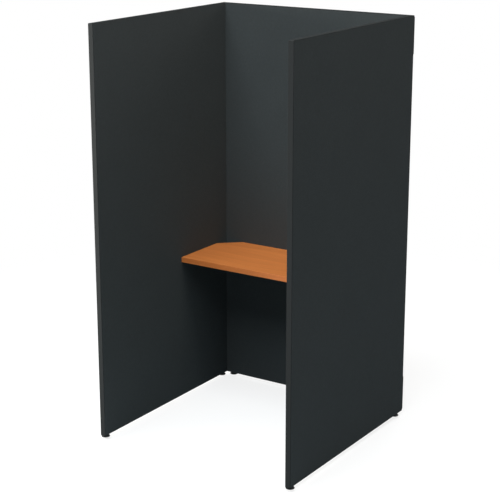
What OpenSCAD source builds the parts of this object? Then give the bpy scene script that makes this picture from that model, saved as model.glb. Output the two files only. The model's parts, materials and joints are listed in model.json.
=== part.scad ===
// Office work booth: two side panels and a back panel, a desk with its rear corners cut off, six levelling feet.
// The origin is on the floor under the middle of the booth. +Z is up, +X is right, and the open front faces -Y.

/* [Booth] */
// Width over the outer faces of the two side panels
booth_w = 1000; // [800:10:1400]
// Depth of the side panels, from front edge to rear edge
booth_d = 1000; // [800:10:1400]
// Height of the panels' top edge above the floor
booth_h = 1850; // [1300:10:2200]
// Gap between the floor and the panels' bottom edge
floor_gap = 9; // [9:0.5:16]

/* [Panels] */
// Thickness of a panel over both skins
panel_t = 25; // [22:1:36]
// Thickness of a skin, its board and fabric together
skin_t = 2; // [1:0.5:3]
// Thickness of the trims that close a panel's edges
trim_t = 2; // [1:0.5:4]
// Width of the frame tubes, seen square to the panel's face
tube_w = 30; // [24:1:40]
// Wall of the frame tubes
tube_wall = 1.6; // [1:0.1:2.5]
// Least distance between two strips of the core lattice
cell_pitch = 140; // [80:10:200]
// Thickness of the strips of the core lattice
strip_t = 4; // [2:0.5:8]

/* [Desk] */
// Height of the desk's top face above the floor
desk_h = 700; // [600:5:760]
// Depth of the desk, front edge to rear edge
desk_d = 375; // [300:5:500]
// Thickness of the desktop over both laminates
desk_t = 25; // [18:1:36]
// Thickness of the laminate on top, and of the backing laminate
laminate_t = 0.8; // [0.5:0.1:2]
// Thickness of the edge band round the desktop
band_t = 1; // [0.5:0.5:3]
// Width of each cut rear corner, along the back panel
corner_cut_w = 98; // [50:1:140]
// Depth of each cut rear corner, along the side panel
corner_cut_d = 85; // [50:1:110]

/* [Desk brackets] */
// Width of each leg of the angle brackets
bracket_leg = 28; // [22:1:36]
// Thickness of the brackets' steel
bracket_t = 2.5; // [1.5:0.5:4]
// Distance from the desk's front edge to a side bracket
side_bracket_front_setback = 95; // [20:5:110]
// Distance from a side bracket's rear end to the desk's cut corner
side_bracket_rear_setback = 25; // [0:1:30]
// Distance from an end of the rear bracket to the desk's cut corner
rear_bracket_setback = 76; // [10:1:100]

/* [Corner plates] */
// Width of the four plates that join the panels at the rear corners
plate_w = 60; // [54:1:80]
// Height of a corner plate
plate_h = 165; // [120:5:250]
// Thickness of a corner plate
plate_t = 3.2; // [2.5:0.1:5]
// Distance from a plate's end to the nearest end of the panel
plate_inset = 6; // [4:1:20]
// Radius of a corner plate's corners
plate_corner_r = 4; // [1:0.5:10]

/* [Levelling feet] */
// Radius of the pad that stands on the floor
pad_r = 19; // [14:0.5:24]
// Height of the pad
pad_h = 5; // [4.5:0.1:5]
// Radius of the threaded stud
stud_r = 4; // [3:0.5:5]
// Length of stud that stands in the threaded insert at rest
stud_engage = 20; // [16:1:24]
// Distance from a side panel's front edge to its front foot
front_foot_inset = 20; // [16:1:60]
// Distance from a side panel's rear edge to its rear foot
rear_foot_inset = 54; // [40:1:100]
// Distance from the back panel's end to its foot
back_foot_inset = 34; // [24:1:100]

/* [Hidden] */

// Facets of round shapes
$fn = 48;

// How far a cut runs past the face it opens
cut_over = 1;
// Gap between the core and the tubes round it
core_clear = 0.5;
// Gap between the desktop and the panels round it
desk_clear = 0.5;
// Radial gap between a screw and its hole
screw_clear = 0.2;
// Radial gap between the stud and what it turns in
stud_fit = 0.06;
// Gap above and below the stud's head in the pad
head_end_gap = 0.1;
// Radial gap between an insert and the hole in the bottom rail
insert_clear = 0.1;

// Share of a trim's thickness that rounds its outer edges
trim_round_share = 0.75;
trim_round = trim_t * trim_round_share;

// Screws through the corner plates, with countersunk heads
plate_screw_r = 2.5;
plate_screw_head_r = 4.7;
plate_screw_head_h = 2.2;
plate_screw_l = 15;
// Distance between the two screws of a column on a corner plate, as a share of the plate's height
plate_screw_spacing_share = 0.6;
plate_screw_spacing = plate_h * plate_screw_spacing_share;

// Pan-head screws through the desk brackets
desk_screw_r = 2;
desk_screw_head_r = 4;
desk_screw_head_h = 2.4;
desk_screw_l = 14;
// Distance from a bracket's end to its first screw
bracket_screw_inset = 20;

// Threaded insert in the bottom rail, with a flange under it
insert_r = 6.5;
insert_l = 22;
insert_flange_r = 10;
insert_flange_t = 1;

// Pad of a levelling foot: a straight rim, a sloping top, and a pocket for the stud's head
pad_rim_h = 3;
pad_top_r = 9;
pad_floor_t = 1;
stud_head_r = 7;
stud_head_h = 2;
// Slot across the stud's top end, for a screwdriver
slot_w = 1.2;
slot_depth = 1.5;

frame_t = panel_t - 2 * skin_t;
inner_w = booth_w - 2 * panel_t;
// The frame of a side panel lies between its two end trims
side_frame_l = booth_d - 2 * trim_t;

// What reaches furthest behind the rear face: a corner plate, or a pad under the back panel
rear_reach = max(plate_t, pad_r - panel_t / 2);
front_y = -(booth_d + rear_reach) / 2;
rear_face_y = front_y + booth_d;
back_face_y = rear_face_y - panel_t;

trimmed_top = booth_h - trim_t;
desk_bottom = desk_h - desk_t;
desk_rail_z = desk_bottom - tube_w;
desk_w = inner_w - 2 * desk_clear;
desk_rear_y = back_face_y - desk_clear;
desk_front_y = desk_rear_y - desk_d;

side_bracket_y = desk_front_y + side_bracket_front_setback;
side_bracket_l = desk_d - corner_cut_d - side_bracket_front_setback - side_bracket_rear_setback;
rear_bracket_l = desk_w - 2 * corner_cut_w - 2 * rear_bracket_setback;
panel_screw_z = desk_bottom - bracket_leg / 2;

left_foot_x = -(booth_w - panel_t) / 2;
front_foot_y = front_y + front_foot_inset;
rear_foot_y = rear_face_y - rear_foot_inset;
back_foot_x = inner_w / 2 - back_foot_inset;
back_foot_y = rear_face_y - panel_t / 2;

fabric_colour = [0.2, 0.21, 0.21];
trim_colour = [0.27, 0.28, 0.28];
tube_colour = [0.35, 0.36, 0.37];
core_colour = [0.66, 0.53, 0.38];
plate_colour = [0.18, 0.19, 0.19];
screw_colour = [0.5, 0.5, 0.52];
desk_colour = [0.7, 0.43, 0.22];
board_colour = [0.62, 0.5, 0.36];
pad_colour = [0.1, 0.1, 0.1];
stud_colour = [0.62, 0.63, 0.65];

// Places for the panels. In a panel's own frame x runs along it, y from its inner face to its outer face.

module on_left() {
    translate([-inner_w / 2, front_y, 0])
        rotate([0, 0, 90])
            children();
}

module on_right() {
    mirror([1, 0, 0])
        on_left()
            children();
}

module on_back() {
    translate([-inner_w / 2, back_face_y, 0])
        children();
}

// Pieces that the panels share, each in the panel's own frame

// An upright tube that stands on the bottom rail
module upright_tube(x) {
    upright_l = trimmed_top - floor_gap - tube_w;
    translate([x, skin_t, floor_gap + tube_w])
        difference() {
            cube([tube_w, frame_t, upright_l]);
            translate([tube_wall, tube_wall, -cut_over])
                cube([tube_w - 2 * tube_wall, frame_t - 2 * tube_wall, upright_l + 2 * cut_over]);
        }
}

// A tube that lies along the panel
module lying_tube(x, z, l) {
    translate([x, skin_t, z])
        difference() {
            cube([l, frame_t, tube_w]);
            translate([-cut_over, tube_wall, tube_wall])
                cube([l + 2 * cut_over, frame_t - 2 * tube_wall, tube_w - 2 * tube_wall]);
        }
}

// A rail between the two stiles of a panel whose frame starts at x and is l long
module rail(x, z, l) {
    lying_tube(x + tube_w, z, l - 2 * tube_w);
}

// A lattice of strips that fills the bay between two stiles and two rails
module lattice(x, l, z_low, z_high) {
    bay_l = l - 2 * tube_w - 2 * core_clear;
    bay_h = z_high - z_low - 2 * core_clear;
    columns = max(1, floor(bay_l / cell_pitch));
    rows = max(1, floor(bay_h / cell_pitch));
    cell_l = (bay_l - strip_t) / columns;
    cell_h = (bay_h - strip_t) / rows;
    translate([x + tube_w + core_clear, skin_t, z_low + core_clear])
        difference() {
            cube([bay_l, frame_t, bay_h]);
            for (i = [0 : columns - 1], k = [0 : rows - 1])
                translate([strip_t + i * cell_l, -cut_over, strip_t + k * cell_h])
                    cube([cell_l - strip_t, frame_t + 2 * cut_over, cell_h - strip_t]);
        }
}

module upper_core(x, l) {
    lattice(x, l, desk_rail_z + tube_w, trimmed_top - tube_w);
}

module lower_core(x, l) {
    lattice(x, l, floor_gap + tube_w, desk_rail_z);
}

// A skin whose inner side is at y
module skin(x, y, l) {
    translate([x, y, floor_gap])
        cube([l, skin_t, trimmed_top - floor_gap]);
}

// Cross-section of an edge trim: as wide as the panel, with its two outer edges rounded
module trim_section() {
    intersection() {
        square([panel_t, trim_t]);
        union() {
            square([panel_t, trim_t - trim_round]);
            translate([trim_round, 0])
                square([panel_t - 2 * trim_round, trim_t]);
            for (x = [trim_round, panel_t - trim_round])
                translate([x, trim_t - trim_round])
                    circle(r = trim_round);
        }
    }
}

module end_trim() {
    translate([trim_t, 0, floor_gap])
        rotate([0, 0, 90])
            linear_extrude(trimmed_top - floor_gap)
                trim_section();
}

module far_end_trim() {
    translate([booth_d, 0, 0])
        mirror([1, 0, 0])
            end_trim();
}

module top_trim(l) {
    translate([0, 0, trimmed_top])
        rotate([90, 0, 90])
            linear_extrude(l)
                trim_section();
}

// Screws

// A pan-head screw along +Z, with its head under z = 0
module pan_screw() {
    translate([0, 0, -desk_screw_head_h])
        cylinder(r = desk_screw_head_r, h = desk_screw_head_h);
    cylinder(r = desk_screw_r, h = desk_screw_l);
}

module pan_screw_hole() {
    translate([0, 0, -cut_over])
        cylinder(r = desk_screw_r + screw_clear, h = desk_screw_l + screw_clear + cut_over);
}

// A countersunk screw along +Z, with its head's flat face at z = 0
module countersunk_screw() {
    cylinder(r1 = plate_screw_head_r, r2 = plate_screw_r, h = plate_screw_head_h);
    cylinder(r = plate_screw_r, h = plate_screw_l);
}

module countersunk_hole() {
    head_r = plate_screw_head_r + screw_clear;
    hole_r = plate_screw_r + screw_clear;
    cylinder(r1 = head_r, r2 = hole_r, h = plate_screw_head_h);
    translate([0, 0, -cut_over])
        cylinder(r = hole_r, h = plate_screw_l + screw_clear + cut_over);
    translate([0, 0, -cut_over])
        cylinder(r = head_r, h = cut_over);
}

// Height of a corner plate's lower end
function plate_z(top) = top ? booth_h - plate_inset - plate_h : floor_gap + plate_inset;

// The screws of the corner plates: one column in the side panel, one in the back panel
module at_corner_screws() {
    side_column_x = (booth_w - panel_t) / 2;
    back_column_x = (inner_w - tube_w) / 2;
    for (top = [false, true], side = [-1, 1], x = [side_column_x, back_column_x], step = [-1, 1]) {
        z = plate_z(top) + plate_h / 2 + step * plate_screw_spacing / 2;
        translate([side * x, rear_face_y + plate_t, z])
            rotate([90, 0, 0])
                children();
    }
}

// The screws that hold the brackets to the panels: side brackets, then the rear bracket
module at_panel_screws() {
    side_x = inner_w / 2 - bracket_t;
    first_y = side_bracket_y + bracket_screw_inset;
    last_y = side_bracket_y + side_bracket_l - bracket_screw_inset;
    for (side = [-1, 1], y = [first_y, last_y])
        translate([side * side_x, y, panel_screw_z])
            rotate([0, side * 90, 0])
                children();
    rear_x = rear_bracket_l / 2 - bracket_screw_inset;
    for (x = [-rear_x, 0, rear_x])
        translate([x, back_face_y - bracket_t, panel_screw_z])
            rotate([-90, 0, 0])
                children();
}

// The screws that hold the desktop down on the brackets
module at_desktop_screws() {
    leg_middle = (bracket_leg + bracket_t) / 2;
    side_x = inner_w / 2 - leg_middle;
    side_first_y = side_bracket_y + 2 * bracket_screw_inset;
    side_last_y = side_bracket_y + side_bracket_l - 2 * bracket_screw_inset;
    rear_x = rear_bracket_l / 2 - 2 * bracket_screw_inset;
    places = [
        [-side_x, side_first_y], [-side_x, side_last_y],
        [side_x, side_first_y], [side_x, side_last_y],
        [-rear_x, back_face_y - leg_middle], [rear_x, back_face_y - leg_middle]
    ];
    for (place = places)
        translate([place.x, place.y, desk_bottom - bracket_t])
            children();
}

module corner_holes() {
    at_corner_screws()
        countersunk_hole();
}

module panel_screw_holes() {
    at_panel_screws()
        pan_screw_hole();
}

module desktop_screw_holes() {
    at_desktop_screws()
        pan_screw_hole();
}

// Levelling feet: where they stand, and what is bored for them

module at_left_front() {
    translate([left_foot_x, front_foot_y, 0])
        children();
}

module at_left_rear() {
    translate([left_foot_x, rear_foot_y, 0])
        children();
}

module at_right_front() {
    translate([-left_foot_x, front_foot_y, 0])
        children();
}

module at_right_rear() {
    translate([-left_foot_x, rear_foot_y, 0])
        children();
}

module at_back_left() {
    translate([-back_foot_x, back_foot_y, 0])
        children();
}

module at_back_right() {
    translate([back_foot_x, back_foot_y, 0])
        children();
}

module at_feet() {
    at_left_front() children();
    at_left_rear() children();
    at_right_front() children();
    at_right_rear() children();
    at_back_left() children();
    at_back_right() children();
}

module insert_holes() {
    at_feet()
        translate([0, 0, floor_gap - cut_over])
            cylinder(r = insert_r + insert_clear, h = tube_wall + 2 * cut_over);
}

module insert() {
    bore_r = stud_r + stud_fit;
    difference() {
        union() {
            translate([0, 0, floor_gap])
                cylinder(r = insert_r, h = insert_l);
            translate([0, 0, floor_gap - insert_flange_t])
                cylinder(r = insert_flange_r, h = insert_flange_t);
        }
        translate([0, 0, floor_gap - insert_flange_t - cut_over])
            cylinder(r = bore_r, h = insert_l + insert_flange_t + 2 * cut_over);
    }
}

module pad() {
    pocket_h = stud_head_h + 2 * head_end_gap;
    difference() {
        union() {
            cylinder(r = pad_r, h = pad_rim_h);
            translate([0, 0, pad_rim_h])
                cylinder(r1 = pad_r, r2 = pad_top_r, h = pad_h - pad_rim_h);
        }
        translate([0, 0, pad_floor_t])
            cylinder(r = stud_head_r + stud_fit, h = pocket_h);
        translate([0, 0, pad_floor_t])
            cylinder(r = stud_r + stud_fit, h = pad_h);
    }
}

module stud() {
    stud_foot = pad_floor_t + head_end_gap;
    stud_top = floor_gap + stud_engage;
    difference() {
        union() {
            translate([0, 0, stud_foot])
                cylinder(r = stud_head_r, h = stud_head_h);
            translate([0, 0, stud_foot])
                cylinder(r = stud_r, h = stud_top - stud_foot);
        }
        translate([-stud_r - cut_over, -slot_w / 2, stud_top - slot_depth])
            cube([2 * (stud_r + cut_over), slot_w, slot_depth + cut_over]);
    }
}

// Desk

// Outline of the desktop with its two rear corners cut, drawn in by a distance on every side
function desk_outline(inset) =
    let (
        x = desk_w / 2,
        side_turn = atan2(corner_cut_w, corner_cut_d),
        cut_y = desk_rear_y - corner_cut_d - inset * tan(side_turn / 2),
        cut_x = x - corner_cut_w - inset * tan((90 - side_turn) / 2)
    )
    [
        [-x + inset, desk_front_y + inset],
        [x - inset, desk_front_y + inset],
        [x - inset, cut_y],
        [cut_x, desk_rear_y - inset],
        [-cut_x, desk_rear_y - inset],
        [-x + inset, cut_y]
    ];

module desk_layer(z, t) {
    translate([0, 0, z])
        linear_extrude(t)
            polygon(desk_outline(band_t));
}

// An angle bracket along +Y: its upright leg at x = 0, its lying leg's top face at z = 0
module angle_bracket(l) {
    translate([0, 0, -bracket_leg])
        cube([bracket_t, l, bracket_leg]);
    translate([0, 0, -bracket_t])
        cube([bracket_leg, l, bracket_t]);
}

module bracket_holes() {
    panel_screw_holes();
    desktop_screw_holes();
}

// A corner plate on the right, with its screw holes
module corner_plate(top) {
    translate([booth_w / 2 - plate_w, rear_face_y + plate_t, plate_z(top)])
        rotate([90, 0, 0])
            linear_extrude(plate_t)
                plate_outline();
}

module plate_outline() {
    translate([plate_corner_r, 0])
        square([plate_w - 2 * plate_corner_r, plate_h]);
    translate([0, plate_corner_r])
        square([plate_w, plate_h - 2 * plate_corner_r]);
    for (x = [plate_corner_r, plate_w - plate_corner_r], y = [plate_corner_r, plate_h - plate_corner_r])
        translate([x, y])
            circle(r = plate_corner_r);
}

// Left panel

module left_panel_front_stile() {
    color(tube_colour)
        on_left()
            upright_tube(trim_t);
}

module left_panel_rear_stile() {
    color(tube_colour)
        difference() {
            on_left()
                upright_tube(booth_d - trim_t - tube_w);
            corner_holes();
        }
}

module left_panel_top_rail() {
    color(tube_colour)
        on_left()
            rail(trim_t, trimmed_top - tube_w, side_frame_l);
}

module left_panel_desk_rail() {
    color(tube_colour)
        difference() {
            on_left()
                rail(trim_t, desk_rail_z, side_frame_l);
            panel_screw_holes();
        }
}

module left_panel_bottom_rail() {
    color(tube_colour)
        difference() {
            on_left()
                lying_tube(trim_t, floor_gap, side_frame_l);
            insert_holes();
        }
}

module left_panel_upper_core() {
    color(core_colour)
        on_left()
            upper_core(trim_t, side_frame_l);
}

module left_panel_lower_core() {
    color(core_colour)
        on_left()
            lower_core(trim_t, side_frame_l);
}

module left_panel_inner_skin() {
    color(fabric_colour)
        difference() {
            on_left()
                skin(trim_t, 0, side_frame_l);
            panel_screw_holes();
        }
}

module left_panel_outer_skin() {
    color(fabric_colour)
        on_left()
            skin(trim_t, panel_t - skin_t, side_frame_l);
}

module left_panel_front_trim() {
    color(trim_colour)
        on_left()
            end_trim();
}

module left_panel_rear_trim() {
    color(trim_colour)
        difference() {
            on_left()
                far_end_trim();
            corner_holes();
        }
}

module left_panel_top_trim() {
    color(trim_colour)
        on_left()
            top_trim(booth_d);
}

// Right panel

module right_panel_front_stile() {
    color(tube_colour)
        on_right()
            upright_tube(trim_t);
}

module right_panel_rear_stile() {
    color(tube_colour)
        difference() {
            on_right()
                upright_tube(booth_d - trim_t - tube_w);
            corner_holes();
        }
}

module right_panel_top_rail() {
    color(tube_colour)
        on_right()
            rail(trim_t, trimmed_top - tube_w, side_frame_l);
}

module right_panel_desk_rail() {
    color(tube_colour)
        difference() {
            on_right()
                rail(trim_t, desk_rail_z, side_frame_l);
            panel_screw_holes();
        }
}

module right_panel_bottom_rail() {
    color(tube_colour)
        difference() {
            on_right()
                lying_tube(trim_t, floor_gap, side_frame_l);
            insert_holes();
        }
}

module right_panel_upper_core() {
    color(core_colour)
        on_right()
            upper_core(trim_t, side_frame_l);
}

module right_panel_lower_core() {
    color(core_colour)
        on_right()
            lower_core(trim_t, side_frame_l);
}

module right_panel_inner_skin() {
    color(fabric_colour)
        difference() {
            on_right()
                skin(trim_t, 0, side_frame_l);
            panel_screw_holes();
        }
}

module right_panel_outer_skin() {
    color(fabric_colour)
        on_right()
            skin(trim_t, panel_t - skin_t, side_frame_l);
}

module right_panel_front_trim() {
    color(trim_colour)
        on_right()
            end_trim();
}

module right_panel_rear_trim() {
    color(trim_colour)
        difference() {
            on_right()
                far_end_trim();
            corner_holes();
        }
}

module right_panel_top_trim() {
    color(trim_colour)
        on_right()
            top_trim(booth_d);
}

// Back panel, between the two side panels

module back_panel_left_stile() {
    color(tube_colour)
        difference() {
            on_back()
                upright_tube(0);
            corner_holes();
        }
}

module back_panel_right_stile() {
    color(tube_colour)
        difference() {
            on_back()
                upright_tube(inner_w - tube_w);
            corner_holes();
        }
}

module back_panel_top_rail() {
    color(tube_colour)
        on_back()
            rail(0, trimmed_top - tube_w, inner_w);
}

module back_panel_desk_rail() {
    color(tube_colour)
        difference() {
            on_back()
                rail(0, desk_rail_z, inner_w);
            panel_screw_holes();
        }
}

module back_panel_bottom_rail() {
    color(tube_colour)
        difference() {
            on_back()
                lying_tube(0, floor_gap, inner_w);
            insert_holes();
        }
}

module back_panel_upper_core() {
    color(core_colour)
        on_back()
            upper_core(0, inner_w);
}

module back_panel_lower_core() {
    color(core_colour)
        on_back()
            lower_core(0, inner_w);
}

module back_panel_front_skin() {
    color(fabric_colour)
        difference() {
            on_back()
                skin(0, 0, inner_w);
            panel_screw_holes();
        }
}

module back_panel_rear_skin() {
    color(fabric_colour)
        difference() {
            on_back()
                skin(0, panel_t - skin_t, inner_w);
            corner_holes();
        }
}

module back_panel_top_trim() {
    color(trim_colour)
        on_back()
            top_trim(inner_w);
}

// Corner joints

module corner_plate_left_top() {
    color(plate_colour)
        difference() {
            mirror([1, 0, 0])
                corner_plate(true);
            corner_holes();
        }
}

module corner_plate_left_bottom() {
    color(plate_colour)
        difference() {
            mirror([1, 0, 0])
                corner_plate(false);
            corner_holes();
        }
}

module corner_plate_right_top() {
    color(plate_colour)
        difference() {
            corner_plate(true);
            corner_holes();
        }
}

module corner_plate_right_bottom() {
    color(plate_colour)
        difference() {
            corner_plate(false);
            corner_holes();
        }
}

module corner_screws() {
    color(screw_colour)
        at_corner_screws()
            countersunk_screw();
}

// Desk and its brackets

module desktop_core() {
    color(board_colour)
        difference() {
            desk_layer(desk_bottom + laminate_t, desk_t - 2 * laminate_t);
            desktop_screw_holes();
        }
}

module desktop_laminate() {
    color(desk_colour)
        desk_layer(desk_h - laminate_t, laminate_t);
}

module desktop_backing() {
    color(board_colour)
        difference() {
            desk_layer(desk_bottom, laminate_t);
            desktop_screw_holes();
        }
}

module desktop_edge_band() {
    color(desk_colour)
        translate([0, 0, desk_bottom])
            linear_extrude(desk_t)
                difference() {
                    polygon(desk_outline(0));
                    polygon(desk_outline(band_t));
                }
}

module desk_bracket_left() {
    color(plate_colour)
        difference() {
            translate([-inner_w / 2, side_bracket_y, desk_bottom])
                angle_bracket(side_bracket_l);
            bracket_holes();
        }
}

module desk_bracket_right() {
    color(plate_colour)
        difference() {
            mirror([1, 0, 0])
                translate([-inner_w / 2, side_bracket_y, desk_bottom])
                    angle_bracket(side_bracket_l);
            bracket_holes();
        }
}

module desk_bracket_rear() {
    color(plate_colour)
        difference() {
            translate([-rear_bracket_l / 2, back_face_y, desk_bottom])
                rotate([0, 0, -90])
                    angle_bracket(rear_bracket_l);
            bracket_holes();
        }
}

module desk_screws() {
    color(screw_colour) {
        at_panel_screws()
            pan_screw();
        at_desktop_screws()
            pan_screw();
    }
}

// Levelling feet

module foot_inserts() {
    color(stud_colour)
        at_feet()
            insert();
}

module foot_pad_left_front() {
    color(pad_colour)
        at_left_front()
            pad();
}

module foot_pad_left_rear() {
    color(pad_colour)
        at_left_rear()
            pad();
}

module foot_pad_right_front() {
    color(pad_colour)
        at_right_front()
            pad();
}

module foot_pad_right_rear() {
    color(pad_colour)
        at_right_rear()
            pad();
}

module foot_pad_back_left() {
    color(pad_colour)
        at_back_left()
            pad();
}

module foot_pad_back_right() {
    color(pad_colour)
        at_back_right()
            pad();
}

module foot_stud_left_front() {
    color(stud_colour)
        at_left_front()
            stud();
}

module foot_stud_left_rear() {
    color(stud_colour)
        at_left_rear()
            stud();
}

module foot_stud_right_front() {
    color(stud_colour)
        at_right_front()
            stud();
}

module foot_stud_right_rear() {
    color(stud_colour)
        at_right_rear()
            stud();
}

module foot_stud_back_left() {
    color(stud_colour)
        at_back_left()
            stud();
}

module foot_stud_back_right() {
    color(stud_colour)
        at_back_right()
            stud();
}

left_panel_front_stile();
left_panel_rear_stile();
left_panel_top_rail();
left_panel_desk_rail();
left_panel_bottom_rail();
left_panel_upper_core();
left_panel_lower_core();
left_panel_inner_skin();
left_panel_outer_skin();
left_panel_front_trim();
left_panel_rear_trim();
left_panel_top_trim();
right_panel_front_stile();
right_panel_rear_stile();
right_panel_top_rail();
right_panel_desk_rail();
right_panel_bottom_rail();
right_panel_upper_core();
right_panel_lower_core();
right_panel_inner_skin();
right_panel_outer_skin();
right_panel_front_trim();
right_panel_rear_trim();
right_panel_top_trim();
back_panel_left_stile();
back_panel_right_stile();
back_panel_top_rail();
back_panel_desk_rail();
back_panel_bottom_rail();
back_panel_upper_core();
back_panel_lower_core();
back_panel_front_skin();
back_panel_rear_skin();
back_panel_top_trim();
corner_plate_left_top();
corner_plate_left_bottom();
corner_plate_right_top();
corner_plate_right_bottom();
corner_screws();
desktop_core();
desktop_laminate();
desktop_backing();
desktop_edge_band();
desk_bracket_left();
desk_bracket_right();
desk_bracket_rear();
desk_screws();
foot_inserts();
foot_pad_left_front();
foot_pad_left_rear();
foot_pad_right_front();
foot_pad_right_rear();
foot_pad_back_left();
foot_pad_back_right();
foot_stud_left_front();
foot_stud_left_rear();
foot_stud_right_front();
foot_stud_right_rear();
foot_stud_back_left();
foot_stud_back_right();
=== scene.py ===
"""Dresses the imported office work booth: finer pieces, materials, floor, lights and camera."""

import json
import math

import bmesh
import bpy
from mathutils import Matrix, Vector


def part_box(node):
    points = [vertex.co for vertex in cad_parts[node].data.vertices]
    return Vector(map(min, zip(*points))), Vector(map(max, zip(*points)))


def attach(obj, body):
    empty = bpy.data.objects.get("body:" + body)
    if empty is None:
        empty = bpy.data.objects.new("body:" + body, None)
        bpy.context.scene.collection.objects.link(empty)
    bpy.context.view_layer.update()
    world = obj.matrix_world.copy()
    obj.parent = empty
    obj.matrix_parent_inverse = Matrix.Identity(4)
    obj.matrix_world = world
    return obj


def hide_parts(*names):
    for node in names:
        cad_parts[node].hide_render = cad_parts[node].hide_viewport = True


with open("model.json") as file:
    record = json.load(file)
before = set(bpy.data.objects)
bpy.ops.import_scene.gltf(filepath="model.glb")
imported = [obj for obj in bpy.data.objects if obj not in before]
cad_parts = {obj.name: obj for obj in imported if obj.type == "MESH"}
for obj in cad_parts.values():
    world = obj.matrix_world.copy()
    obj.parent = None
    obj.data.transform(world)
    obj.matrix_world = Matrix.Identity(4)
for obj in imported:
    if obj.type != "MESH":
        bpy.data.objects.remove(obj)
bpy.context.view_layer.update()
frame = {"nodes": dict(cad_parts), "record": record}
nodes = frame["nodes"]
slot_of = {part["node"]: part["material_slot"] for part in frame["record"]["subparts"]}

MM = 0.001


# Materials


def srgb(red, green, blue):
    """A colour given as 0 to 255 on screen, as Blender's linear RGBA."""
    values = [v / 255 for v in (red, green, blue)]
    return [v / 12.92 if v <= 0.04045 else ((v + 0.055) / 1.055) ** 2.4 for v in values] + [1.0]


def tinted(colour, share):
    """The same colour, that many times as bright."""
    return [min(1.0, v * share) for v in colour[:3]] + [1.0]


class Nodes:
    """A material built a node at a time. Places are in metres, in the piece's own frame."""

    def __init__(self, name):
        self.material = bpy.data.materials.new(name)
        self.material.use_nodes = True
        self.tree = self.material.node_tree
        self.shader = self.tree.nodes["Principled BSDF"]

    def put(self, socket, value):
        if isinstance(value, bpy.types.NodeSocket):
            self.tree.links.new(value, socket)
        else:
            socket.default_value = value

    def add(self, kind, *values, **settings):
        node = self.tree.nodes.new(kind)
        for key, value in settings.items():
            setattr(node, key, value)
        for socket, value in zip(node.inputs, values):
            self.put(socket, value)
        return node

    def finish(self, **values):
        """Sets the shader's sockets, named in lower case with underscores."""
        sockets = {s.name.lower().replace(" ", "_"): s for s in self.shader.inputs}
        for name, value in values.items():
            self.put(sockets[name], value)
        return self.material

    def math(self, operation, *values):
        return self.add("ShaderNodeMath", *values, operation=operation).outputs[0]

    def mix(self, share, low, high):
        node = self.add("ShaderNodeMix", data_type="FLOAT")
        for place, value in ((0, share), (2, low), (3, high)):
            self.put(node.inputs[place], value)
        return node.outputs[0]

    def blend(self, share, low, high):
        node = self.add("ShaderNodeMix", data_type="RGBA")
        for place, value in ((0, share), (6, low), (7, high)):
            self.put(node.inputs[place], value)
        return node.outputs[2]

    def scaled(self, colour, share):
        node = self.add("ShaderNodeVectorMath", operation="SCALE")
        self.put(node.inputs[0], colour[:3] if isinstance(colour, list) else colour)
        self.put(node.inputs["Scale"], share)
        return node.outputs[0]

    def ramp(self, value, start, end, low, high):
        """A value from start to end as one from low to high, and no further."""
        return self.add("ShaderNodeMapRange", value, start, end, low, high).outputs[0]

    def spread(self, value, low, high, reach=0.25):
        """A value within reach of a half, such as noise, as a value from low to high."""
        return self.ramp(value, 0.5 - reach, 0.5 + reach, low, high)

    def place(self):
        return self.add("ShaderNodeTexCoord").outputs["Object"]

    def stretched(self, place, x, y, z):
        """The place times a number along each axis, which is the blotches a metre of noise of scale 1."""
        return self.add("ShaderNodeVectorMath", place, (x, y, z), operation="MULTIPLY").outputs[0]

    def noise(self, place, scale, detail=2.0, roughness=0.5):
        """Noise with about scale blotches a metre, or one a unit of place where the scale is 1."""
        node = self.add("ShaderNodeTexNoise")
        values = {"Vector": place, "Scale": scale, "Detail": detail, "Roughness": roughness}
        for name, value in values.items():
            self.put(node.inputs[name], value)
        return node.outputs["Fac"]

    def bump(self, height, distance, strength):
        node = self.add("ShaderNodeBump")
        for name, value in {"Height": height, "Distance": distance, "Strength": strength}.items():
            self.put(node.inputs[name], value)
        return node.outputs["Normal"]

    def on_face(self):
        """Distances across and up a face, whichever of the three axes it faces."""
        mostly = 0.7
        coordinates = self.add("ShaderNodeTexCoord")
        x, y, z = self.add("ShaderNodeSeparateXYZ", coordinates.outputs["Object"]).outputs[:3]
        facing = self.add("ShaderNodeSeparateXYZ", coordinates.outputs["Normal"]).outputs
        faces_x, faces_z = (
            self.math("GREATER_THAN", self.math("ABSOLUTE", facing[axis]), mostly) for axis in (0, 2)
        )
        return self.mix(faces_x, x, y), self.mix(faces_z, z, y)


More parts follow.
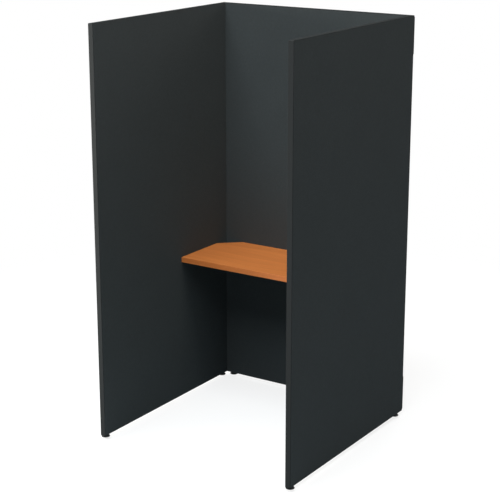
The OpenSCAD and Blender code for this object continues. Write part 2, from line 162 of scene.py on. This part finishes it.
def panel_cloth():
    """Plain-woven charcoal cloth: yarns over and under with painted shade where they dip, lighter fibres,
    slubs and a faint mottle.
    """
    yarn = 1.5 * MM
    sunk = 0.55
    cloth = srgb(63, 66, 66)
    n = Nodes("panel_cloth")
    across, up = n.on_face()
    waves = [n.math("SINE", n.math("MULTIPLY", way, math.pi / yarn)) for way in (across, up)]
    warp_over = n.math("GREATER_THAN", n.math("MULTIPLY", *waves), 0.0)
    round_across, round_up = (n.math("SQRT", n.math("ABSOLUTE", wave)) for wave in waves)
    warp = n.math("MULTIPLY", round_across, n.mix(round_up, sunk, 1.0))
    weft = n.math("MULTIPLY", round_up, n.mix(round_across, sunk, 1.0))
    height = n.mix(warp_over, weft, warp)

    def along_yarns(fine, coarse, detail):
        """Noise on whichever yarn lies on top: fine blotches a metre across it, coarse ones along it."""
        drawn = []
        for x_scale, y_scale, layer in ((coarse, fine, 3.0), (fine, coarse, 0.0)):
            place = n.add(
                "ShaderNodeCombineXYZ",
                n.math("MULTIPLY", across, x_scale),
                n.math("MULTIPLY", up, y_scale),
                layer,
            )
            drawn.append(n.noise(place.outputs[0], 1.0, detail, 0.6))
        return n.mix(warp_over, *drawn)

    streak = along_yarns(fine=900.0, coarse=60.0, detail=2.0)
    slub = n.ramp(along_yarns(fine=420.0, coarse=36.0, detail=1.0), 0.6, 0.74, 0.0, 0.24)
    shade = n.math("ADD", n.spread(streak, 0.84, 1.16), slub)
    # Painted shade: the colour is darker where a yarn dips under its neighbour, as if the weave's hollows
    # were shaded
    depth = n.mix(height, 0.7, 1.08)
    mottle = n.spread(n.noise(n.place(), 85.0, 3.0, 0.6), 0.95, 1.04)
    cloud = n.spread(n.noise(n.place(), 7.0, 3.0), 0.975, 1.025)
    uneven = n.math("MULTIPLY", mottle, cloud)
    share = n.math("MULTIPLY", n.math("MULTIPLY", shade, depth), uneven)
    colour = n.blend(warp_over, tinted(cloth, 0.94), tinted(cloth, 1.06))
    return n.finish(
        base_color=n.scaled(colour, share),
        roughness=n.spread(streak, 0.84, 0.96),
        specular_ior_level=0.04,
        sheen_weight=0.06,
        sheen_roughness=0.45,
        sheen_tint=srgb(150, 160, 165),
        normal=n.bump(n.math("MULTIPLY", height, shade), 0.12 * MM, 0.6),
    )


def powder_coat(name, colour, roughness, specular=0.3):
    """Powder coat: a fine orange peel, and a little uneven in shade and gloss."""
    n = Nodes(name)
    peel = n.noise(n.place(), 1500.0)
    cloud = n.noise(n.place(), 9.0, 3.0)
    shade = n.math("MULTIPLY", n.spread(peel, 0.96, 1.04), n.spread(cloud, 0.98, 1.02))
    return n.finish(
        base_color=n.scaled(colour, shade),
        roughness=n.spread(peel, roughness - 0.06, roughness + 0.06),
        specular_ior_level=specular,
        normal=n.bump(peel, 0.05 * MM, 0.5),
    )


def desk_wood(name, light, dark, roughness):
    """A wood laminate whose grain runs along the desk: broad figure, fine streaks and short dark pores."""
    sway = [0.0, 0.06, 0.06]
    contrast = 0.16
    n = Nodes(name)
    place = n.place()
    swing = n.scaled(sway, n.noise(n.stretched(place, 2.0, 5.0, 5.0), 1.0, 1.0))
    bent = n.add("ShaderNodeVectorMath", place, swing, operation="ADD").outputs[0]
    figure = n.noise(n.stretched(bent, 1.3, 42.0, 42.0), 1.0, 3.0, 0.55)
    streak = n.noise(n.stretched(bent, 6.0, 420.0, 420.0), 1.0, 3.0, 0.65)
    pore = n.ramp(n.noise(n.stretched(place, 110.0, 2200.0, 2200.0), 1.0, 1.0), 0.6, 0.68, 0.0, 1.0)
    broad = n.spread(figure, 0.0, 0.5, contrast)
    fine = n.spread(streak, 0.0, 0.5, contrast)
    grain = n.blend(n.math("ADD", broad, fine), dark, light)
    return n.finish(
        base_color=n.scaled(grain, n.mix(pore, 1.0, 0.86)),
        roughness=n.spread(streak, roughness - 0.04, roughness + 0.04),
        specular_ior_level=0.35,
        normal=n.bump(n.math("SUBTRACT", streak, pore), 0.03 * MM, 0.5),
    )


def chip_board():
    """Raw chip board: flat chips, each of its own shade."""
    n = Nodes("chip_board")
    chips = n.add("ShaderNodeTexVoronoi", n.stretched(n.place(), 260.0, 260.0, 900.0))
    tone = n.spread(chips.outputs["Color"], 0.7, 1.25)
    return n.finish(
        base_color=n.scaled(srgb(172, 140, 100), tone),
        roughness=0.9,
        normal=n.bump(tone, 0.2 * MM, 0.5),
    )


def kraft_board():
    """Brown kraft board of the panels' cores: fibres, and shallow flutes up the strips."""
    flute_rate = 900.0
    flute_depth = 0.3
    n = Nodes("kraft_board")
    fibre = n.noise(n.stretched(n.place(), 300.0, 300.0, 1200.0), 1.0, 3.0)
    up = n.add("ShaderNodeSeparateXYZ", n.place()).outputs[2]
    flute = n.math("MULTIPLY", n.math("SINE", n.math("MULTIPLY", up, flute_rate)), flute_depth)
    return n.finish(
        base_color=n.scaled(srgb(176, 142, 104), n.spread(fibre, 0.85, 1.12)),
        roughness=0.9,
        normal=n.bump(n.math("ADD", fibre, flute), 0.15 * MM, 0.5),
    )


def zinc(name, colour, roughness):
    """Zinc-plated steel, slightly clouded, with the fine marks of turning."""
    n = Nodes(name)
    cloud = n.noise(n.place(), 400.0, 3.0)
    marks = n.noise(n.stretched(n.place(), 200.0, 200.0, 9000.0), 1.0, 1.0)
    return n.finish(
        base_color=n.scaled(colour, n.spread(cloud, 0.88, 1.08)),
        metallic=1.0,
        roughness=n.spread(cloud, roughness - 0.06, roughness + 0.08),
        normal=n.bump(marks, 0.01 * MM, 0.5),
    )


def nylon():
    """Moulded black nylon with a spark-eroded grain and a few scuffs."""
    n = Nodes("black_nylon")
    grain = n.noise(n.place(), 2600.0, 2.0)
    scuff = n.spread(n.noise(n.stretched(n.place(), 90.0, 90.0, 500.0), 1.0, 4.0, 0.65), 0.9, 1.15)
    return n.finish(
        base_color=n.scaled(srgb(31, 32, 32), scuff),
        roughness=n.spread(grain, 0.48, 0.62),
        specular_ior_level=0.3,
        normal=n.bump(grain, 0.03 * MM, 0.6),
    )


MATERIALS = {
    "panel_fabric": panel_cloth(),
    "edge_trim": powder_coat("trim_powder_coat", srgb(46, 47, 47), roughness=0.7, specular=0.0),
    "frame_tube": powder_coat("tube_paint", srgb(92, 94, 97), roughness=0.45),
    "core_board": kraft_board(),
    "connector_steel": powder_coat("plate_powder_coat", srgb(44, 46, 46), roughness=0.5),
    "screw_steel": zinc("black_zinc", srgb(82, 83, 86), roughness=0.38),
    "desk_board": chip_board(),
    "desk_laminate": desk_wood("desk_laminate", srgb(204, 122, 63), srgb(180, 102, 48), roughness=0.45),
    "desk_backing": desk_wood("desk_backing", srgb(124, 96, 70), srgb(106, 80, 57), roughness=0.6),
    "desk_edge": desk_wood("desk_edge", srgb(206, 119, 58), srgb(185, 101, 47), roughness=0.48),
    "insert_steel": zinc("insert_zinc", srgb(170, 170, 166), roughness=0.42),
    "foot_pad": nylon(),
    "stud_steel": zinc("stud_zinc", srgb(176, 178, 182), roughness=0.34),
}
for name, node in nodes.items():
    for slot in node.material_slots:
        slot.material = MATERIALS[slot_of[name]]


# Finer pieces


BODY = "booth"
SHARP = math.radians(35)
ROUNDED_FROM = math.radians(30)
NEARLY_FLAT = math.radians(0.4)
WELD = 0.002 * MM


def piece(name, bm, slot, body, *replaced):
    """Makes a shown piece of the mesh, which rides on a body and stands for the CAD nodes named."""
    bmesh.ops.recalc_face_normals(bm, faces=bm.faces)
    mesh = bpy.data.meshes.new(name)
    bm.to_mesh(mesh)
    bm.free()
    if "custom_normal" in mesh.attributes:
        mesh.attributes.remove(mesh.attributes["custom_normal"])
    mesh.shade_smooth()
    mesh.set_sharp_from_angle(angle=SHARP)
    mesh.materials.append(MATERIALS[slot])
    obj = bpy.data.objects.new(name, mesh)
    bpy.context.scene.collection.objects.link(obj)
    weighted = obj.modifiers.new("weighted", "WEIGHTED_NORMAL")
    weighted.keep_sharp = True
    weighted.weight = 90
    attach(obj, body)
    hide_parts(*replaced)
    return obj


def welded(node):
    """The CAD node's shape as one closed mesh without needless edges."""
    bm = bmesh.new()
    bm.from_mesh(nodes[node].data)
    bmesh.ops.remove_doubles(bm, verts=bm.verts, dist=WELD)
    bmesh.ops.dissolve_limit(bm, angle_limit=NEARLY_FLAT, verts=bm.verts, edges=bm.edges)
    return bm


def round_edges(bm, radius, segments, wanted=lambda edge: True):
    """Rounds the sharp edges that are wanted."""
    edges = [
        e for e in bm.edges
        if len(e.link_faces) == 2 and e.calc_face_angle(0.0) > ROUNDED_FROM and wanted(e)
    ]
    bmesh.ops.bevel(
        bm, geom=edges, offset=radius, offset_type="OFFSET", segments=segments, profile=0.5,
        affect="EDGES", clamp_overlap=True,
    )


def softened(node, radius, segments):
    """The CAD node with its sharp edges rounded, as real cut, pressed or wrapped edges are."""
    bm = welded(node)
    round_edges(bm, radius, segments)
    return piece(node + "_soft", bm, slot_of[node], BODY, node)


def ring_mesh(rings):
    """A closed mesh through closed rings of points, each joined to the next, with a face at both ends."""
    bm = bmesh.new()
    made = [[bm.verts.new(point) for point in ring] for ring in rings]
    for low, high in zip(made, made[1:]):
        count = len(low)
        for i in range(count):
            j = (i + 1) % count
            bm.faces.new((low[i], low[j], high[j], high[i]))
    bm.faces.new(list(reversed(made[0])))
    bm.faces.new(made[-1])
    return bm


def arc(centre, radius, start, end, steps):
    """Points on an arc, from start to end in degrees."""
    angles = [math.radians(start + (end - start) * i / steps) for i in range(steps + 1)]
    return [(centre[0] + radius * math.cos(a), centre[1] + radius * math.sin(a)) for a in angles]


# Edge trims: one strip wraps the front, top and rear of each side panel


TRIM_T = 2 * MM
TRIM_ROUND = 1.5 * MM
TRIM_CORNER = 3 * MM
ROUND_STEPS = 5
CORNER_STEPS = 6
SKIN_ROUND = 0.7 * MM


def trim_section(low, high):
    """Points (across, depth) round the trim's section, between the panel's two faces."""
    left = arc((low + TRIM_ROUND, -TRIM_ROUND), TRIM_ROUND, 180, 90, ROUND_STEPS)
    right = arc((high - TRIM_ROUND, -TRIM_ROUND), TRIM_ROUND, 90, 0, ROUND_STEPS)
    return [(low, TRIM_T)] + [(x, -y) for x, y in left + right] + [(high, TRIM_T)]


def wrapped_trim(side):
    """The strip round a side panel's front, top and rear edges, bent over at its two top corners."""
    names = [f"{side}_panel_{place}_trim" for place in ("front", "top", "rear")]
    low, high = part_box(names[1])
    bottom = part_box(names[0])[0].z
    section = trim_section(low.x, high.x)
    rings = [[(x, low.y + depth, bottom) for x, depth in section]]
    for centre_y, start in ((low.y + TRIM_CORNER, 180), (high.y - TRIM_CORNER, 90)):
        for i in range(CORNER_STEPS + 1):
            angle = math.radians(start - 90 * i / CORNER_STEPS)
            ring = []
            for x, depth in section:
                radius = TRIM_CORNER - depth
                y = centre_y + radius * math.cos(angle)
                z = high.z - TRIM_CORNER + radius * math.sin(angle)
                ring.append((x, y, z))
            rings.append(ring)
    rings.append([(x, high.y - depth, bottom) for x, depth in section])
    return piece(f"{side}_panel_trim_strip", ring_mesh(rings), "edge_trim", BODY, *names)


def back_top_trim():
    """The straight strip on the back panel's top edge."""
    low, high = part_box("back_panel_top_trim")
    section = trim_section(low.y, high.y)
    rings = [[(x, y, high.z - depth) for y, depth in section] for x in (low.x, high.x)]
    return piece("back_panel_trim_strip", ring_mesh(rings), "edge_trim", BODY, "back_panel_top_trim")


for side in ("left", "right"):
    wrapped_trim(side)
    for skin in ("inner_skin", "outer_skin"):
        softened(f"{side}_panel_{skin}", SKIN_ROUND, segments=3)
back_top_trim()
for skin in ("front_skin", "rear_skin"):
    softened(f"back_panel_{skin}", SKIN_ROUND, segments=3)


# Corner plates, brackets and desk


PLATES = ("left_top", "left_bottom", "right_top", "right_bottom")
PLATE_ROUND = 0.5 * MM
BRACKET_T = 2.5 * MM
BEND_OUTSIDE = 3.2 * MM
BEND_INSIDE = 1.0 * MM
DEBURRED = 0.35 * MM
BAND_EASED = 0.8 * MM
LAMINATE_EASED = 0.12 * MM


def bent_bracket(name):
    """The angle bracket as bent from sheet: round outside the bend, a small radius inside it."""
    near = 0.01 * MM
    square = math.radians(60)
    low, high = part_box(name)
    across = 1 if high.x - low.x > high.y - low.y else 0
    if low[across] + high[across] > 0:
        wall, thick = high[across], -BRACKET_T
    else:
        wall, thick = low[across], BRACKET_T
    bm = welded(name)

    def at_bend(depth):
        """Picks the edge along the bend that lies this many thicknesses in from its outside."""
        def wanted(edge):
            return all(
                abs(v.co[across] - wall - depth * thick) < near
                and abs(v.co.z - high.z + depth * BRACKET_T) < near
                for v in edge.verts
            )
        return wanted

    round_edges(bm, BEND_OUTSIDE, segments=5, wanted=at_bend(0))
    round_edges(bm, BEND_INSIDE, segments=4, wanted=at_bend(1))
    round_edges(bm, DEBURRED, segments=2, wanted=lambda edge: edge.calc_face_angle(0.0) > square)
    return piece(name + "_bent", bm, slot_of[name], BODY, name)


def desk_band():
    """The edge band with its outer edges eased."""
    level = 0.001 * MM
    clear = 0.1 * MM
    bm = welded("desktop_edge_band")
    low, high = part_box("desktop_laminate")

    def outer(edge):
        """Whether the edge lies flat, outside the laminate that the band goes round."""
        a, b = (v.co for v in edge.verts)
        middle = (a + b) / 2
        beyond = any(
            middle[axis] < low[axis] - clear or middle[axis] > high[axis] + clear for axis in (0, 1)
        )
        return abs(a.z - b.z) < level and beyond

    round_edges(bm, BAND_EASED, segments=4, wanted=outer)
    return piece("desktop_band_eased", bm, "desk_edge", BODY, "desktop_edge_band")


for place in PLATES:
    softened(f"corner_plate_{place}", PLATE_ROUND, segments=2)
for place in ("left", "right", "rear"):
    bent_bracket(f"desk_bracket_{place}")
desk_band()
softened("desktop_laminate", LAMINATE_EASED, segments=1)
softened("desktop_backing", LAMINATE_EASED, segments=1)


# Screws


# The corner screws' places: from the middle for the side panel's and the back panel's columns,
# and from the middle of a plate's height. The desk screws' places: from a bracket's end.
PANEL_COLUMNS = (487.5 * MM, 460 * MM)
PLATE_ROW = 49.5 * MM
SCREW_INSET = 20 * MM
BRACKET_LEG = 28 * MM
HEAD_STEPS = 48


def hexagon(angle):
    """The radius of a hexagonal socket at an angle, as a share of its corners' radius."""
    sixth = math.pi / 3
    from_middle = (angle + sixth / 2) % sixth - sixth / 2
    return math.cos(sixth / 2) / math.cos(from_middle)


def six_lobes(angle):
    """The radius of a six-lobed socket at an angle, as a share of its lobes' radius."""
    wave = 0.14
    return 1 - wave + wave * math.cos(6 * angle)


def recessed_head(profile, socket_shape, socket_r, socket_depth, shank_r, shank_l):
    """A screw about +Z as rings: the pointed shank's end, the head's outside, then down into its socket.
    The profile is (radius, height) points of the head, from its neck to the rim of its top.
    """
    tip = 0.6 * shank_r
    mouth = 0.1 * MM
    cone = 0.3 * MM
    top = profile[-1][1]
    floor = top - socket_depth
    turns = [2 * math.pi * i / HEAD_STEPS for i in range(HEAD_STEPS)]

    def ring(radius, z, shape=lambda angle: 1.0):
        return [(radius * shape(a) * math.cos(a), radius * shape(a) * math.sin(a), z) for a in turns]

    rings = [ring(tip, -shank_l), ring(shank_r, tip - shank_l)]
    rings += [ring(radius, z) for radius, z in profile]
    for share, z in ((1.06, top), (1.0, top - mouth), (0.97, floor), (0.2, floor - cone)):
        rings.append(ring(share * socket_r, z, socket_shape))
    return rings


def screws(name, rings, places, replaced):
    """Copies of a screw, each at a place and turned so that its +Z points out of the head."""
    bm = bmesh.new()
    for place in places:
        one = ring_mesh(rings)
        bmesh.ops.transform(one, matrix=place, verts=one.verts)
        mesh = bpy.data.meshes.new("one_screw")
        one.to_mesh(mesh)
        one.free()
        bm.from_mesh(mesh)
        bpy.data.meshes.remove(mesh)
    return piece(name, bm, "screw_steel", BODY, replaced)


def turned(x, y, z, way, spin):
    """A place whose +Z points the given way, spun about it so that no two screws stand alike."""
    rotation = Vector(way).to_track_quat("Z", "Y").to_matrix().to_4x4()
    return Matrix.Translation((x, y, z)) @ rotation @ Matrix.Rotation(spin, 4, "Z")


def corner_screws():
    """Countersunk socket screws, flush in the corner plates."""
    neck_r, cone_r, rim_r, flat_r = 2.4 * MM, 4.5 * MM, 4.62 * MM, 4.45 * MM
    profile = [(neck_r, -2.25 * MM), (cone_r, -0.15 * MM), (rim_r, 0.0), (flat_r, 0.0)]
    rings = recessed_head(
        profile, hexagon, socket_r=2.0 * MM, socket_depth=1.5 * MM, shank_r=neck_r, shank_l=14.5 * MM,
    )
    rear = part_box("corner_plate_right_top")[1].y
    places = []
    for plate in PLATES:
        low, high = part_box(f"corner_plate_{plate}")
        side = 1 if high.x > 0 else -1
        for column, x in enumerate(PANEL_COLUMNS):
            for row in (-1, 1):
                z = (low.z + high.z) / 2 + row * PLATE_ROW
                spin = 0.4 * column + 0.9 * row + 0.2 * side
                places.append(turned(side * x, rear, z, (0, 1, 0), spin))
    return screws("corner_screw_heads", rings, places, "corner_screws")


def desk_screws():
    """Pan-head screws with a six-lobed socket: seven in the panels, six up into the desktop."""
    neck_r, under_r, head_r = 1.95 * MM, 3.8 * MM, 3.98 * MM
    rim_z, dome_h = 1.0 * MM, 1.35 * MM
    profile = [(neck_r, 0.0), (under_r, 0.0), (head_r, 0.15 * MM)]
    for angle in (0, 20, 38, 54):
        turn = math.radians(angle)
        profile.append((head_r * math.cos(turn), rim_z + dome_h * math.sin(turn)))
    rings = recessed_head(
        profile, six_lobes, socket_r=1.5 * MM, socket_depth=1.2 * MM, shank_r=neck_r, shank_l=13.5 * MM,
    )
    low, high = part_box("desk_bracket_left")
    rear_low, rear_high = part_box("desk_bracket_rear")
    panel_z = high.z - BRACKET_LEG / 2
    under_z = high.z - BRACKET_T
    middle = (BRACKET_LEG + BRACKET_T) / 2
    places = []
    for side in (-1, 1):
        for y in (low.y + SCREW_INSET, high.y - SCREW_INSET):
            x = side * (abs(low.x) - BRACKET_T)
            places.append(turned(x, y, panel_z, (-side, 0, 0), 40 * y))
        for y in (low.y + 2 * SCREW_INSET, high.y - 2 * SCREW_INSET):
            x = side * (abs(low.x) - middle)
            places.append(turned(x, y, under_z, (0, 0, -1), 70 * y))
    for x in (rear_low.x + SCREW_INSET, 0.0, rear_high.x - SCREW_INSET):
        places.append(turned(x, rear_high.y - BRACKET_T, panel_z, (0, -1, 0), 30 * x))
    for x in (rear_low.x + 2 * SCREW_INSET, rear_high.x - 2 * SCREW_INSET):
        places.append(turned(x, rear_high.y - middle, under_z, (0, 0, -1), 50 * x))
    return screws("desk_screw_heads", rings, places, "desk_screws")


corner_screws()
desk_screws()


# Levelling feet. Their sections are (radius, height) points in millimetres


FEET = ("left_front", "left_rear", "right_front", "right_rear", "back_left", "back_right")
PAD_STEPS = 120
PAD_RIBS = 15
POCKET_SPAN = (0.2, 0.95)
PAD_SLOPE = ((17.9, 3.08), (9.6, 4.86))
PAD_UNDER = [(0.0, 0.4), (12.0, 0.4), (12.6, 0.0)]
PAD_COLLAR = [(9.2, 4.93), (8.7, 5.0), (4.5, 5.0), (4.1, 4.7)]
PAD_HOLLOW = [(4.1, 3.22), (7.06, 3.2), (7.06, 1.0), (0.0, 1.0)]
STUD_STEPS = 32
STUD_DISC = [(3.5, 1.1), (6.7, 1.1), (7.0, 1.4), (7.0, 2.9), (6.8, 3.1), (3.45, 3.1)]
STUD_CORE = [(3.3, 3.3), (3.3, 28.4), (2.7, 29.0)]
THREAD_PITCH = 1.25
THREAD_FIRST, THREAD_LAST = 4.4, 27.8
THREAD_SECTION = [(3.3, -0.62), (3.92, -0.12), (3.92, 0.12), (3.3, 0.62)]
INSERT_ROUND = 0.25 * MM


def about(node):
    """A function that puts a (radius, height) point in millimetres at an angle about the node's axis."""
    low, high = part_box(node)
    x, y = (low.x + high.x) / 2, (low.y + high.y) / 2
    return lambda r, z, turn: (x + r * MM * math.cos(turn), y + r * MM * math.sin(turn), z * MM)


def pad_section(in_pocket):
    """The pad's section: from the middle underneath, round the rim, over the top and into the hollow."""
    rim = arc((17.9, 1.1), 1.1, -90, 0, 4) + arc((18.2, 2.3), 0.8, 0, 68, 3)
    (outer_r, outer_z), (inner_r, inner_z) = PAD_SLOPE
    top = []
    for r, pocket_z in ((17.3, None), (16.9, 3.0), (11.0, 4.2), (10.6, None)):
        rib_z = outer_z + (outer_r - r) * (inner_z - outer_z) / (outer_r - inner_r)
        top.append((r, pocket_z if in_pocket and pocket_z else rib_z))
    return PAD_UNDER + rim + top + PAD_COLLAR + PAD_HOLLOW


def foot_pad(place):
    """A moulded pad: rounded rim, and a sloping top with shallow pockets between its ribs."""
    at = about(f"foot_pad_{place}")
    bm = bmesh.new()
    made = []
    for i in range(PAD_STEPS):
        turn = 2 * math.pi * i / PAD_STEPS
        phase = (i * PAD_RIBS / PAD_STEPS) % 1.0
        section = pad_section(POCKET_SPAN[0] < phase < POCKET_SPAN[1])
        made.append([bm.verts.new(at(r, z, turn)) for r, z in section])
    for i in range(PAD_STEPS):
        a, b = made[i], made[(i + 1) % PAD_STEPS]
        for j in range(len(a) - 1):
            bm.faces.new((a[j], a[j + 1], b[j + 1], b[j]))
    bmesh.ops.remove_doubles(bm, verts=bm.verts, dist=0.0001 * MM)
    return piece(f"moulded_pad_{place}", bm, "foot_pad", f"pad_{place}", f"foot_pad_{place}")


def foot_stud(place):
    """A stud: the disc that turns in the pad, and a rolled M8 thread up to the chamfered end."""
    at = about(f"foot_stud_{place}")
    turns = [2 * math.pi * i / STUD_STEPS for i in range(STUD_STEPS)]
    bm = ring_mesh([[at(r, z, turn) for turn in turns] for r, z in STUD_DISC + STUD_CORE])
    previous = None
    for i in range(int((THREAD_LAST - THREAD_FIRST) / THREAD_PITCH * STUD_STEPS) + 1):
        turn = 2 * math.pi * i / STUD_STEPS
        rise = THREAD_FIRST + THREAD_PITCH * i / STUD_STEPS
        run = [bm.verts.new(at(r, rise + z, turn)) for r, z in THREAD_SECTION]
        if previous:
            for j in range(len(run)):
                k = (j + 1) % len(run)
                bm.faces.new((previous[j], previous[k], run[k], run[j]))
        else:
            bm.faces.new(list(reversed(run)))
        previous = run
    bm.faces.new(previous)
    return piece(f"threaded_stud_{place}", bm, "stud_steel", f"stud_{place}", f"foot_stud_{place}")


for place in FEET:
    foot_pad(place)
    foot_stud(place)
softened("foot_inserts", INSERT_ROUND, segments=2)


# Floor, lights and camera


# The floor's half width, how far it lies under the lowest foot, how deep the shadow may get, how white
# it shows out of the shadow, the distances from its middle between which it fades to plain white, and
# the colour of the light that it sends up
FLOOR_HALF = 5.0
FLOOR_GAP = 0.2 * MM
FLOOR_SHADE = 0.22
FLOOR_WHITE = 1.01
FLOOR_FADE = (2.0, 3.0)
FLOOR_BOUNCE = (0.28, 0.35, 0.4, 1)
WHITE = (1, 1, 1, 1)

# The height that the lamps aim at, in metres, and the camera's place, turn, tilt, lens and sensor
LAMPS_AIM = 1.0
CAMERA_PLACE = (3.255, -5.005, 2.543)
CAMERA_TURN = math.radians(33.26)
CAMERA_TILT = math.radians(15.99)
CAMERA_LENS = 100.8
CAMERA_SENSOR = 36


def seen_directly(tree):
    """A socket that is 1 for what the camera sees, directly or in gloss or glass, and 0 for other light."""
    path = tree.nodes.new("ShaderNodeLightPath")
    either = path.outputs["Is Camera Ray"]
    for ray in ("Is Glossy Ray", "Is Transmission Ray"):
        both = tree.nodes.new("ShaderNodeMath")
        both.operation = "MAXIMUM"
        tree.links.new(either, both.inputs[0])
        tree.links.new(path.outputs[ray], both.inputs[1])
        either = both.outputs[0]
    return either


def mixed_by_ray(tree, other, seen, output):
    """Links a tree's output: one shader for rays that are seen directly, another for the rest."""
    mix = tree.nodes.new("ShaderNodeMixShader")
    tree.links.new(seen_directly(tree), mix.inputs[0])
    tree.links.new(other.outputs[0], mix.inputs[1])
    tree.links.new(seen.outputs[0], mix.inputs[2])
    tree.links.new(mix.outputs[0], tree.nodes.new(output).inputs["Surface"])


def studio_floor():
    """A white floor that keeps the booth's faint soft shadow, and sends little light back up.
    It lies where the feet reach at their longest, so that no foot sinks into it at any pose.
    """
    joints = frame["record"]["behaviour"]["joints"]
    reach = max(joint["range_m"][1] for joint in joints if joint["type"] == "slide")
    bm = bmesh.new()
    bmesh.ops.create_grid(bm, x_segments=1, y_segments=1, size=FLOOR_HALF)
    mesh = bpy.data.meshes.new("floor")
    bm.to_mesh(mesh)
    bm.free()
    floor = bpy.data.objects.new("floor", mesh)
    floor.location.z = -reach - FLOOR_GAP
    bpy.context.scene.collection.objects.link(floor)
    n = Nodes("studio_floor")
    n.tree.nodes.clear()
    dim = n.add("ShaderNodeBsdfDiffuse", FLOOR_BOUNCE)
    shaded = n.add("ShaderNodeBsdfDiffuse", (FLOOR_SHADE, FLOOR_SHADE, FLOOR_SHADE, 1))
    glow = n.add("ShaderNodeEmission", WHITE, FLOOR_WHITE - FLOOR_SHADE)
    near = n.add("ShaderNodeAddShader", shaded.outputs[0], glow.outputs[0])
    white = n.add("ShaderNodeEmission", WHITE, 1.0)
    away = n.add("ShaderNodeVectorMath", n.place(), operation="LENGTH").outputs["Value"]
    share = n.ramp(away, *FLOOR_FADE, 0.0, 1.0)
    seen = n.add("ShaderNodeMixShader", share, near.outputs[0], white.outputs[0])
    mixed_by_ray(n.tree, dim, seen, "ShaderNodeOutputMaterial")
    mesh.materials.append(n.material)


def studio_world(level, colour):
    """White where it is seen; otherwise an even light from all sides."""
    world = bpy.data.worlds.new("studio")
    world.use_nodes = True
    bpy.context.scene.world = world
    tree = world.node_tree
    tree.nodes.clear()
    soft = tree.nodes.new("ShaderNodeBackground")
    soft.inputs["Color"].default_value = (*colour, 1)
    soft.inputs["Strength"].default_value = level
    white = tree.nodes.new("ShaderNodeBackground")
    white.inputs["Color"].default_value = WHITE
    mixed_by_ray(tree, soft, white, "ShaderNodeOutputWorld")


def softbox(name, azimuth, elevation, distance, size, level, colour=(1, 1, 1)):
    """A square lamp aimed at the booth's middle, azimuth degrees to the right of its front.
    At level 1 it alone shows a colour that faces it there as the colour is written.
    """
    turn, tilt = math.radians(azimuth), math.radians(elevation)
    way = Vector((math.sin(turn) * math.cos(tilt), -math.cos(turn) * math.cos(tilt), math.sin(tilt)))
    data = bpy.data.lights.new(name, "AREA")
    data.shape = "SQUARE"
    data.size = size
    data.energy = math.pi ** 2 * distance ** 2 * level
    data.color = colour
    lamp = bpy.data.objects.new(name, data)
    lamp.location = Vector((0, 0, LAMPS_AIM)) + way * distance
    lamp.rotation_mode = "QUATERNION"
    lamp.rotation_quaternion = (-way).to_track_quat("-Z", "Y")
    lamp.visible_camera = False
    bpy.context.scene.collection.objects.link(lamp)


def camera():
    """In front, to the right and above the booth's top, with a long lens. The photograph's uprights are
    parallel, and without a shift this place comes closest to its outline.
    """
    data = bpy.data.cameras.new("camera")
    data.sensor_width = CAMERA_SENSOR
    data.lens = CAMERA_LENS
    data.clip_end = 100
    cam = bpy.data.objects.new("camera", data)
    cam.location = CAMERA_PLACE
    cam.rotation_euler = (math.pi / 2 - CAMERA_TILT, 0, CAMERA_TURN)
    bpy.context.scene.collection.objects.link(cam)
    bpy.context.scene.camera = cam


studio_floor()
studio_world(level=0.165, colour=(1, 0.89, 0.85))
softbox("front", azimuth=0, elevation=60, distance=6, size=4.5, level=1.36, colour=(0.86, 0.95, 1))
softbox("right", azimuth=75, elevation=68, distance=6, size=2.5, level=0.355, colour=(1, 1, 0.93))
softbox("left", azimuth=-50, elevation=10, distance=2.4, size=1.2, level=1.53, colour=(1, 0.98, 0.915))
softbox("rear", azimuth=180, elevation=30, distance=6, size=2.5, level=0.5)
camera()
bpy.context.scene.view_settings.view_transform = "Standard"
